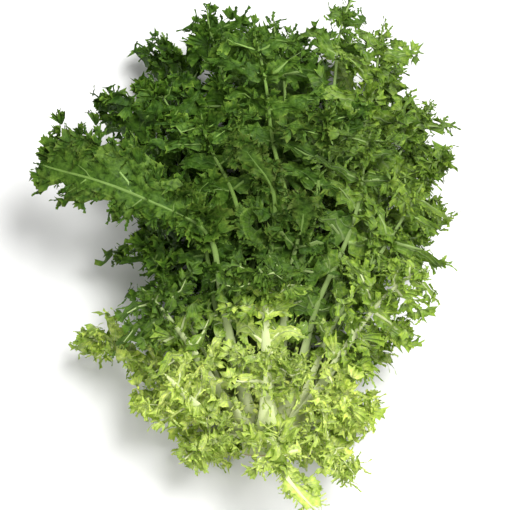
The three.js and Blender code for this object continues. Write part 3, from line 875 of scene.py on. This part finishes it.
class Growth:
    # where each web, side rib and frill of a leaf grows, in the leaf's own millimetres
    def __init__(self, leaf):
        self.leaf, self.fine = leaf, np.random.default_rng(1000 + leaf["seed"])
        self.draw = self.fine.uniform
        self.tones = leafLook["tones"]["pale" if leaf["colour"] == "pale" else "other"]
        self.webs, self.spurs, self.frills = [], [], []

    def put(self, rows, place, shape, size, heading, raised, rolled):
        turned = turnedTo(heading, radians(raised), radians(rolled))
        rows.append({"place": place, "shape": shape, "size": size, "turned": turned, "root": place[0],
                     "tone": self.draw(*self.tones)})

    def putFrill(self, place, length, heading, raised, rolled):
        shape = int(self.fine.integers(firstLongFan))
        size = (length * self.draw(0.75, 1.1), length, length)
        self.put(self.frills, np.array(place), shape, size, heading, raised, rolled)

    def longFan(self):
        return firstLongFan + int(self.fine.integers(len(longFanLook["teeth"])))

    def dressLobe(self, lobe):
        look, leaf, draw = leafLook, self.leaf, self.draw
        along, side, reach, forward = (lobe[key] for key in ("along", "side", "reach", "forward"))
        bare = max(float(smoothStep(leaf["coveredTo"] - 50, leaf["coveredTo"] - 15, along)),
                   float(smoothStep(leaf["length"] - 40, leaf["length"] - 20, along)))
        heading = atan2(side * reach, forward) if side else 0
        run = hypot(reach, forward) if side else reach
        base = np.array([along - 0.35 * forward, side * lobe["half"] * 0.6, 0])
        slope = atan2(0.8 * frill["height"] * min(1, run / 24) * lobe["thrown"], run)
        rise, webLength = degrees(slope), look["webLength"] * run
        ahead = np.array([cos(heading) * cos(slope), sin(heading) * cos(slope), sin(slope)])
        isUnder = sin(leaf["turn"]) < 0.1
        wide = min((look["underWebShare"] if isUnder else mix(*look["webShare"], bare)) * lobe["wide"], run)
        web = firstWeb + int(self.fine.integers(len(webLook["tipShare"])))
        size = (wide, webLength, 0.5 * (wide + webLength))
        self.put(self.webs, base, web, size, heading, rise, draw(-20, 20))
        if side and run > 8:
            thick = look["sideRib"] * min(1, run / 20)
            self.put(self.spurs, base, spurShape, (thick, 0.85 * webLength, 0.9 * thick), heading, rise, 0)

        # frills stand along both margins of the lobe, thrown up and down by turns
        longest = float(np.clip(look["frillShare"] * run, *look["frillLength"]))
        few = [count for limit, count in look["smallLobes"] if run < limit]
        count = few[0] if few else round(mix(*look["lobeFrills"], bare))
        for at in range(count):
            out = 1.0 - 0.9 * (at // 2 + 0.5 * draw(0, 1)) / max(1, count / 2)
            hand = 1 if at % 2 else -1
            margin = hand * look["marginShare"] * wide * mix(1, 0.4, out ** 0.7)
            place = base + ahead * webLength * out + np.array([-sin(heading), cos(heading), 0]) * margin
            aside = hand * (mix(*look["aside"], out) + draw(*look["strayAside"]))
            raised = draw(*look["raised" if (at // 2) % 2 else "lowered"])
            self.putFrill(place, longest * mix(0.75, 1, out) * draw(0.75, 1.2),
                          heading + radians(aside), rise + raised, draw(*look["rolled"]))
        if bare <= 0.3:
            return
        if run > 9 and draw() < look["longFanShare"]:
            # a long fan lies out along the lobe
            length = min(0.75 * run, 16)
            self.put(self.frills, base + ahead * webLength * 0.12, self.longFan(),
                     (length * draw(0.8, 1.2), length, length),
                     heading * draw(0.45, 0.9), rise + draw(10, 40), draw(*look["rolledLess"]))
        if side and along > 8:
            # others stand up beside the rib and half hide it
            for _ in range(look["besideRib"][leaf["colour"]]):
                place = base + np.array([draw(-7, 7), 0, 0])
                self.putFrill(place, min(8.0, 0.36 * run + 2.5) * draw(0.8, 1.15),
                              heading - side * radians(draw(-10, 75)), draw(40, 85), draw(*look["rolled"]))
            if leaf["colour"] != "pale" and along < 0.8 * leaf["length"]:
                self.putFrill((along + draw(-8, 8), side * 2.0, 1), draw(6, 9),
                              radians(draw(-60, 60)), draw(15, 50), draw(*look["rolledLess"]))

    def dressOpenBlade(self, blade):
        # rows of small frills round an open blade, sparser away from its margin
        leaf, draw, start, end = self.leaf, self.draw, blade["start"], self.leaf["length"]
        for row, ray in enumerate(blade["rows"]):
            for side in (1, -1):
                along = start + 2
                while along < end - 7:
                    share = (along - start) / (end - start)
                    place = np.stack(openPoint(leaf, np.array(float(along)), np.array(side * ray)))
                    self.putFrill(place, blade["fringe"] * draw(0.75, 1.25),
                                  side * radians(mix(85, 25, share) + draw(-35, 35)),
                                  draw(-25, 30) + 14 * row, draw(-55, 55))
                    along += 2 + 1.3 * row + draw(-0.6, 0.6)
        for side in (1, -1) if "fans" in blade else ():
            for along in np.arange(start + 8, end - 14, 5):
                share = (along - start) / (end - start)
                length = mix(1.15, 0.35, share) * blade["fans"] * blade["lower" if side > 0 else "upper"]
                length = length * draw(0.8, 1.15)
                place = np.stack(openPoint(leaf, along, side * 0.72))
                self.put(self.frills, place, self.longFan(), (length * 1.2, length, length),
                         side * radians(mix(75, 30, share) + draw(-15, 15)), draw(0, 25), draw(-35, 35))
        for turn in range(-75, 90, 25):
            self.putFrill((end - 9, turn / 15, 0.8), 1.1 * blade["fringe"],
                          radians(turn), draw(-20, 40), draw(*leafLook["rolled"]))
        for along, side, length, heading in blade.get("sideRibs", ()):
            place = np.array([along, side * 0.6, 0.4])
            self.put(self.spurs, place, spurShape, (0.9, length, 0.9), side * radians(heading), 0, 0)

    def addSpray(self, along, across, heading, length):
        draw = self.draw
        for spread in (-26, 0, 26):
            self.put(self.frills, np.array([along, across, 0.5]), self.longFan(),
                     (length * draw(0.9, 1.2), length * draw(0.8, 1.1), length),
                     radians(heading + spread + draw(-8, 8)), draw(-5, 22), draw(*leafLook["rolledLess"]))
            way = radians(heading + spread)
            self.putFrill(np.array([along, across, 1.0]) + 0.5 * length * np.array([cos(way), sin(way), 0]),
                          min(8, 0.55 * length), way, draw(10, 50), draw(*leafLook["rolled"]))

    def hangOverCut(self):
        draw, rolled = self.draw, leafLook["rolled"]
        for at in range(hangsOverCut["backCount"]):
            self.putFrill((draw(-1.5, 1.5), draw(-6, 6), draw(1, 4)), draw(4, 6.5),
                          radians(draw(120, 240)), draw(0, 30), draw(*rolled))
        for at in range(hangsOverCut["count"]):
            side = 1 if at % 2 else -1
            if at % 3:
                place = (draw(2, 24), side * draw(3, 9), draw(-2, 2))
                heading, raised = draw(60, 130), draw(-30, 30)
            else:
                place = (draw(0, 46), side * draw(2, 5), -2.5)
                heading, raised = draw(-130, -50), draw(-45, -12)
            length = draw(*hangsOverCut["length"])
            self.putFrill(place, length, side * radians(heading), raised, draw(*rolled))


def growthOf(leaf):
    growth = Growth(leaf)
    blade = openBlades.get(leaf["name"])
    for lobe in lobesOfLeaf(leaf):
        if bareStalks.get(leaf["name"], -1e9) <= lobe["along"] <= (blade["start"] if blade else 1e9):
            growth.dressLobe(lobe)
    if blade:
        growth.dressOpenBlade(blade)
    for spray in extraSprays.get(leaf["name"], ()):
        growth.addSpray(*spray)
    if leaf["name"] == hangsOverCut["leaf"]:
        growth.hangOverCut()
    return growth


def openMargin(leaf, along, side):
    # half width of an open blade, cut in between its shallow lobes
    blade = openBlades[leaf["name"]]
    share = np.clip((along - blade["start"]) / (leaf["length"] - blade["start"]), 0, 1)
    most = blade["lower" if side > 0 else "upper"]
    lobed = 1 - 0.34 * np.maximum(0, np.sin(along * 0.24 + side + leaf["seed"])) ** 3
    half = most * lobed * mix(0.2, 1, smoothStep(0, 0.55, share)) * np.sqrt(np.maximum(0.02, 1 - share ** 5))
    room = roomAcross(leaf, along)
    if leaf["opened"]:
        room = mix(room, 99, smoothStep(*openedOver, along))
    return np.minimum(half, room)


def openPoint(leaf, along, ray):
    # a place on the open blade, waved more toward its margin
    blade = openBlades[leaf["name"]]
    across = np.where(ray > 0, ray * openMargin(leaf, along, 1), ray * openMargin(leaf, along, -1))
    free = blade["wave"] * np.abs(ray) ** 1.6
    slow, quick = np.sin(along * 0.29 + 2.1 * np.sign(ray) + leaf["seed"]), np.sin(along * 0.71 + 3 * ray)
    return along + 0.5 * free * np.sin(along * 0.5 + ray), across, free * (slow + 0.5 * quick) + 0.8


def onOpenBlade(leaf, chart):
    # what lies on an open blade rises and falls with it
    side = np.where(chart[:, 1] > 0, 1, -1)
    margin = np.where(side > 0, openMargin(leaf, chart[:, 0], 1), openMargin(leaf, chart[:, 0], -1))
    ray = np.clip(chart[:, 1] / margin, -1, 1)
    rise = openPoint(leaf, chart[:, 0], ray)[2] * (chart[:, 0] > openBlades[leaf["name"]]["start"])
    return chart + np.stack([0 * rise, 0 * rise, rise], axis=1)


def openSheet(leaf):
    # the open blade itself, two skins meeting in a thin edge
    start = openBlades[leaf["name"]]["start"]
    stations = np.linspace(start, leaf["length"] - 6, int((leaf["length"] - start) / 3))
    along, ray = np.meshgrid(stations, np.linspace(-1, 1, 17), indexing="ij")
    chart = np.stack(openPoint(leaf, along, ray), axis=-1)
    middle = leafPoint(leaf, *ruffled(leaf, *np.moveaxis(chart, -1, 0)))
    normal = np.cross(np.gradient(middle, axis=0), np.gradient(middle, axis=1))
    normal /= np.maximum(np.linalg.norm(normal, axis=-1), 1e-9)[..., None]
    slanted = chart[..., 0] - 1.5 * np.abs(chart[..., 1])
    numbers = {
        "rim": 0.55 + 0.4 * np.abs(ray),
        "veinRun": pi / 17 * (slanted + 4 * np.sin(chart[..., 0] / 9 + 2 * ray)),
        "tone": np.ones_like(ray),
        "root": along,
    }
    return sheet(middle, 0.28 * normal, numbers)


# a lobe curled round into a ring: where on its leaf, radii, first and last angle, dip of its middle
curledLobes = {"full_leaf_3": {
    "at": (106.5, 8, 7), "inner": 6, "outer": 13.5, "from": 85, "to": 395, "dip": 10, "wave": 1.5,
    "fringe": 5.5, "root": 66.0, "tone": 1.15}}


def curledPoint(leaf, turn, ray):
    # a place on the ring, its inner edge turned down
    look = curledLobes[leaf["name"]]
    share = (turn - radians(look["from"])) / radians(look["to"] - look["from"])
    wide = np.sin(pi * np.clip(share, 0.04, 0.96)) ** 0.5 * (1 + 0.1 * np.sin(3 * turn))
    reach = look["inner"] + (look["outer"] - look["inner"]) * wide * ray
    rise = look["wave"] * ray ** 2 * np.sin(7 * turn) + 1.5 * np.cos(turn - 2.4) - look["dip"] * (1 - ray) ** 2
    centre = leafPoint(leaf, *np.array(look["at"], float))
    return centre + np.stack([reach * np.cos(turn), reach * np.sin(turn), rise], axis=-1)


def curledSheet(leaf):
    look = curledLobes[leaf["name"]]
    turns = np.radians(np.linspace(look["from"], look["to"], 40))
    turn, ray = np.meshgrid(turns, np.linspace(0, 1, 8), indexing="ij")
    # a low rim at the ring's inner edge makes the blade finish paint it darker, as painted shade in the curl's
    # hollow
    numbers = {"rim": 0.1 + 0.8 * ray, "veinRun": 9 * turn + 2 * ray,
               "tone": np.full_like(ray, look["tone"]), "root": np.full_like(ray, look["root"])}
    return sheet(curledPoint(leaf, turn, ray), np.array([0, 0, 0.3]), numbers)


def curledFringe(leaf):
    look, draw = curledLobes[leaf["name"]], np.random.default_rng(leaf["seed"] + 31)
    rows = []
    for at, angle in enumerate(np.arange(look["from"] + 6, look["to"] - 4, 6.0)):
        turn = radians(angle)
        length = look["fringe"] * draw.uniform(0.75, 1.25)
        heading = turn + radians(draw.uniform(-35, 35))
        rows.append({
            "place": curledPoint(leaf, np.array(turn), np.array(0.96 if at % 2 else 0.8)),
            "shape": int(draw.integers(firstLongFan)), "size": (length, length, length),
            "tone": draw.uniform(0.85, 1.25), "root": look["root"],
            "turned": turnedTo(heading, radians(draw.uniform(-35, 30)), radians(draw.uniform(-45, 45)))})
    return rows


def setInHead(leaf, rows):
    # moves frills from the leaf's own millimetres into the head, each keeping its shape
    chart = np.array([row["place"] for row in rows])
    step = 0.5
    along, across, out = (
        bladePoint(leaf, chart + step * axis) - bladePoint(leaf, chart - step * axis) for axis in np.eye(3))
    along /= np.linalg.norm(along, axis=1)[:, None]
    across -= along * (along * across).sum(axis=1)[:, None]
    across /= np.linalg.norm(across, axis=1)[:, None]
    square = np.cross(along, across)
    square *= np.sign((square * out).sum(axis=1))[:, None]
    for row, place, *axes in zip(rows, bladePoint(leaf, chart), along, across, square):
        own = np.array(Euler(row["turned"]).to_matrix())
        length, normal = (own[:, at] @ np.array(axes) for at in (1, 2))
        row["place"] = place
        turned = np.stack([np.cross(length, normal), length, normal], axis=1)
        row["turned"] = tuple(Matrix(turned.tolist()).to_euler())


def grown(rows, finish):
    # the frill tree's result for these rows: points, quads and the numbers each point carries
    spots = writeMesh("lobePoints", [row["place"] for row in rows], [])
    for keys, kind, key in ((("tone", "root"), "FLOAT", "value"), (("shape",), "INT", "value"),
                            (("size", "turned"), "FLOAT_VECTOR", "vector")):
        writeNumbers(spots, {name: [row[name] for row in rows] for name in keys}, kind, key)
    inputs = {"Frill Shapes": shapeShelf, "Fullness": leafLook["fullness"], "Finish": finish}
    flat = runTree(frillTree, spots, inputs)
    points = readAll(flat.vertices, "co", 3).reshape(-1, 3).astype(float)
    quads = readAll(flat.loops, "vertex_index", kind=np.int32).reshape(-1, 4)
    numbers = {
        key: readAll(flat.attributes[key].data, "value").astype(float)
        for key in ("tone", "root", "rim", "veinRun")}
    bpy.data.meshes.remove(flat)
    bpy.data.meshes.remove(spots)
    return points, quads, numbers


ribShell = {
    "sides": 14,
    "spacing": 4,
    "rootEnd": -1.2,
    "keel": 0.62,
    "inside": 0.3,
    "channel": 0.22,
    "ridges": 0.1,
    "slim": {"droop_leaf_2": 2.6},  # single leaves' widest half, mm, and how bright their stalks are
    # painted light: skirt_leaf_2's stalk is painted brighter to make up for the shade the frills above it cast
    "tone": {"skirt_leaf_2": 1.22, "low_leaf_2": 0.85},
}


def midribShell(leaf):
    # a tapering half-round rod with a keel outside and a shallow channel inside
    length, sides = leaf["length"] - 3, ribShell["sides"]
    stations = np.linspace(ribShell["rootEnd"], length, max(14, int(length / ribShell["spacing"])))
    zeros = np.zeros_like(stations)
    half = ribHalfWidth(leaf, np.maximum(stations, 0.5)) * np.clip((length - stations) / 6, 0.12, 1) ** 0.5
    half = half * mix(1, leafLook["ribShare"], smoothStep(25, 80, stations))
    half = np.minimum(half, ribShell["slim"].get(leaf["name"], 99))
    thick = mix(rib["thickness"], rib["tipThickness"], np.clip(stations / leaf["length"], 0, 1) ** 0.6)
    centre = leafPoint(leaf, stations, zeros, zeros)
    out = np.cross(np.gradient(centre, axis=0), leafPoint(leaf, stations, half * 0.3, zeros) - centre)
    out /= np.linalg.norm(out, axis=1)[:, None]
    points, uv = [], []
    for turn in np.linspace(0, 2 * pi, sides, endpoint=False):
        swell = abs(sin(turn)) * (1 + ribShell["ridges"] * cos(6 * turn))
        if sin(turn) > 0:
            height = thick * ribShell["keel"] * swell
        else:
            channel = ribShell["channel"] * (1 - abs(cos(turn))) ** 2 * np.minimum(1, half / 3)
            height = thick * (channel - ribShell["inside"] * swell)
        points.append(leafPoint(leaf, stations, half * cos(turn), zeros) + out * height[:, None])
        uv.append(np.stack([stations, np.full_like(stations, turn / (2 * pi))], axis=1))
    points, uv = (np.stack(rings, axis=1).reshape(len(stations) * sides, -1) for rings in (points, uv))
    last = (len(stations) - 1) * sides
    caps = [tuple(range(sides)), tuple(last + at for at in reversed(range(sides)))]
    return points, facesOut(points, tubeFaces(len(stations), sides) + caps), uv, np.repeat(stations, sides)


# over which millimetres a ring's leaves turn from pale to green, and how pale they stay at least
paleFrom = {"droop_leaf": (60, 260), "skirt_leaf": (45, 160), "low_leaf": (25, 115), "outer_leaf": (5, 110)}
leastPale = {"low_leaf": 0.3, "sunSide": 0.48, "low_leaf_1": 0.8, "low_leaf_2": 0.68, "low_leaf_5": 0.85}


def paleness(leaf, along, sideShare=1.0):
    # 1 where the leaf grew in the dark near the stem, least out in the light
    start, end = paleFrom.get(leaf["ring"], (0, 90))
    least = leastPale.get(leaf["name"], leastPale.get(leaf["ring"], 0))
    # leaves toward +x are kept paler, partly as their own paler colour and partly as painted light on the
    # lamp's side
    least = max(least, sideShare * leastPale["sunSide"] * float(smoothStep(0.1, 0.9, cos(leaf["turn"]))))
    return np.maximum(least, 1 - smoothStep(start, end, along))


ribSideShare = 0.3  # share of the +x side's paleness and painted light that a rib takes
leafTones = (0.9, 1.1)
pressedAbove = 2.5  # what lies lower than this, in millimetres, is pressed against the surface


def aboveFloor(height):
    # presses what would reach below the surface thin against it, its two skins still apart
    under = np.maximum(0, pressedAbove - height)
    return height + under - pressedAbove + pressedAbove / (1 + under / pressedAbove)


def growLeaf(leaf):
    name, finish, growth = leaf["name"], blades[leaf["colour"]], growthOf(leaf)
    setInHead(leaf, growth.frills)
    if name in curledLobes:
        growth.frills += curledFringe(leaf)
    parts = []  # points, quads, their numbers, and whether they are rib
    for rows in (growth.webs, growth.frills, growth.spurs):
        isSet, isRib = rows is growth.frills, rows is growth.spurs
        if rows:
            points, quads, numbers = grown(rows, midribs if isRib else finish)
            if isRib and name in openBlades:
                points = onOpenBlade(leaf, points)
            parts.append((points if isSet else bladePoint(leaf, points), quads, numbers, isRib))
    if name in openBlades:
        parts.append((*openSheet(leaf), False))
    if name in curledLobes:
        parts.append((*curledSheet(leaf), False))
    shift, faces, slots = 0, [], []
    for points, quads, numbers, isRib in parts:
        numbers["pale"] = paleness(leaf, numbers["root"], ribSideShare if isRib else 1)
        faces += [tuple(face) for face in (quads + shift).tolist()]
        slots += [int(isRib)] * len(quads)
        shift += len(points)
    points = np.concatenate([part[0] for part in parts])
    numbers = {key: np.concatenate([part[2][key] for part in parts]) for key in parts[0][2]}
    points[:, 2] = aboveFloor(points[:, 2])
    numbers["browning"] = browning(leaf, points)
    ribPoints, ribFaces, ribUv, ribAlong = midribShell(leaf)
    ribPoints[:, 2] = np.maximum(ribPoints[:, 2], 0)
    faces += [tuple(corner + shift for corner in face) for face in ribFaces]
    slots += [1] * len(ribFaces)

    zeros = np.zeros(len(ribPoints))
    ofRib = {"tone": zeros + ribShell["tone"].get(name, 1), "pale": paleness(leaf, ribAlong, ribSideShare)}
    attributes = {
        key: np.concatenate([numbers[key], ofRib.get(key, zeros)])
        for key in ("rim", "veinRun", "tone", "pale", "browning")}
    leafTone = mix(*leafTones, ((leaf["seed"] * 37) % 11) / 10)
    attributes["tone"] *= leafTone * openBlades.get(name, {"tone": 1})["tone"]
    every = (np.concatenate([points, ribPoints]) + chartOrigin) / 1000
    mesh = writeMesh(name + "_frilled", every, faces, attributes, (finish, midribs), slots)
    uv = np.concatenate([np.zeros((shift, 2)), ribUv])[readAll(mesh.loops, "vertex_index", kind=np.int32)]
    mesh.uv_layers.new(name="ribRun").data.foreach_set("uv", uv.astype(np.float32).ravel())
    mesh.polygons.foreach_set("use_smooth", np.ones(len(mesh.polygons), bool))
    mesh.set_sharp_from_angle(angle=radians(75))
    return placed(name + "_frilled", mesh)


def browning(leaf, points):
    # sun-touched margins, most on the outer green leaves
    if leaf["colour"] in ("pale", "fresh"):
        return np.full(len(points), 0.06)
    patches = np.sin(points[:, 0] / 23 + 1.2) + np.sin(points[:, 1] / 31 + 0.4) + np.sin(points[:, 2] / 19)
    return np.clip(0.12 + 0.2 * patches, 0, 0.6)


leafPieces = [(growLeaf(leaf), leaf["name"], leaf["colour"] + "_leaf") for leaf in growLeaves()]
for shape in list(shapeShelf.objects):
    bpy.data.objects.remove(shape)
bpy.data.collections.remove(shapeShelf)
triangles = sum(len(face.vertices) - 2 for piece, _, _ in leafPieces for face in piece.data.polygons)
print("leaves grown:", len(leafPieces), "triangles:", triangles)

stub = {"cutEnd": -131, "cutRadius": 16, "neckRadius": 17.5, "neckEnd": -121, "sides": 96, "furrow": 0.35,
        "furrows": 8, "cutFurrows": 5, "crownRows": 22, "deepestLayer": 1.9}
# the cut face from its middle out: radius, how far inside the end, how near the rim, how freshly cut
cutFace = ((0, 0.9, 0.0, 1), (5, 0.8, 0.3, 1), (10, 0.4, 0.62, 1),
           (14.4, 0.1, 0.9, 1), (15.6, 0.15, 1.0, 1), (16, 0.7, 1.0, 0.6))


def cutStem():
    profile = [(radius, stub["cutEnd"] + height, pith, isCut) for radius, height, pith, isCut in cutFace]
    for share in np.linspace(0.12, 1, 6):
        radius = mix(stub["cutRadius"], stub["neckRadius"], share)
        profile.append((radius, mix(stub["cutEnd"], stub["neckEnd"], share), 1.0, 0))
    for layer in np.linspace(stub["deepestLayer"], 0, stub["crownRows"]):
        radius, forward = crownPoint(layer)
        inset = crown["skin"] * np.array([sin(leanAt(layer)), cos(leanAt(layer))])
        profile.append((max(0, float(radius - inset[0])) if layer else 0, float(forward - inset[1]), 1.0, 0))
    rows, sides = len(profile), stub["sides"]
    turn = np.linspace(0, 2 * pi, sides, endpoint=False)
    points = []
    for row, (radius, forward, _, isCut) in enumerate(profile):
        cutFurrow = 0.4 * np.abs(np.sin(turn * stub["cutFurrows"]))
        furrow = cutFurrow if isCut else np.abs(np.sin(turn * stub["furrows"] + 0.3 * np.sin(row)))
        reach = radius * (1 - stub["furrow"] / stub["cutRadius"] * furrow)
        points.append(layDown(reach * np.cos(turn), np.full(sides, forward), reach * np.sin(turn)))
    faces = tubeFaces(rows - 1, sides, 1)
    last = (rows - 2) * sides
    faces += [(0, sides + (at + 1) % sides, sides + at) for at in range(sides)]
    faces += [(last + sides, last + at, last + (at + 1) % sides) for at in range(sides)]
    # each end is one point, so the rest of its ring goes
    used = [0, *range(sides, last + sides + 1)]
    faces = [tuple(max(0, corner - sides + 1) for corner in face) for face in faces]
    points = np.concatenate(points)[used]
    faces = facesOut(points, faces)
    numbers = {"cut": [row[3] for row in profile], "pith": [row[2] for row in profile]}
    numbers = {key: np.repeat(values, sides)[used] for key, values in numbers.items()}
    mesh = writeMesh("stem_cut", (points + chartOrigin) / 1000, faces, numbers, (stemFlesh,))
    mesh.polygons.foreach_set("use_smooth", np.ones(len(mesh.polygons), bool))
    return placed("stem_cut", mesh)


stemPiece = cutStem()
print("stem cut")

for piece, node, slotName in leafPieces + [(stemPiece, "stem", "stem")]:
    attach(piece, "root")
    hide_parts(node)

studio = {
    "floorSide": 8.0,
    "floorColour": (0.82, 0.82, 0.81),
    "floorLook": {"roughness": 0.8, "shine": 0.2},
    "sky": (1.0, 1.0, 1.0),
    "skyStrength": 0.42,
    "lamps": [
        {"name": "mainSoftbox", "at": (0.55, 0.6, 1.9), "size": 0.85, "power": 60},
        {"name": "fillSoftbox", "at": (-0.5, -1.2, 1.5), "size": 1.4, "power": 12},
    ],
}

half = studio["floorSide"] / 2
corners = [(-half, -half), (half, -half), (half, half), (-half, half)]
floorFinish, floorTree = startMaterial("paleTabletop")
grain = noise(floorTree, 30.0)
floorShade = blend(floorTree, grain, studio["floorColour"], tuple(0.985 * v for v in studio["floorColour"]))
closeMaterial(floorTree, studio["floorLook"], floorShade)
points = [(x, y, -0.0004) for x, y in corners]
floorMesh = writeMesh("paleTable", points, [(0, 1, 2, 3)], materials=(floorFinish,))
floor = placed("paleTable", floorMesh)

world = bpy.data.worlds.new("softRoom")
bpy.context.scene.world = world
world.use_nodes = True
world.node_tree.nodes["Background"].inputs[0].default_value = (*studio["sky"], 1)
world.node_tree.nodes["Background"].inputs[1].default_value = studio["skyStrength"]
for lamp in studio["lamps"]:
    light = bpy.data.lights.new(lamp["name"], "AREA")
    light.shape, light.size, light.energy = "DISK", lamp["size"], lamp["power"]
    holder = placed(lamp["name"], light)
    holder.location = lamp["at"]
    reach = -holder.location
    holder.rotation_euler = reach.to_track_quat("-Z", "Y").to_euler()
bpy.context.scene.view_settings.view_transform = "Standard"
print("studio lit")
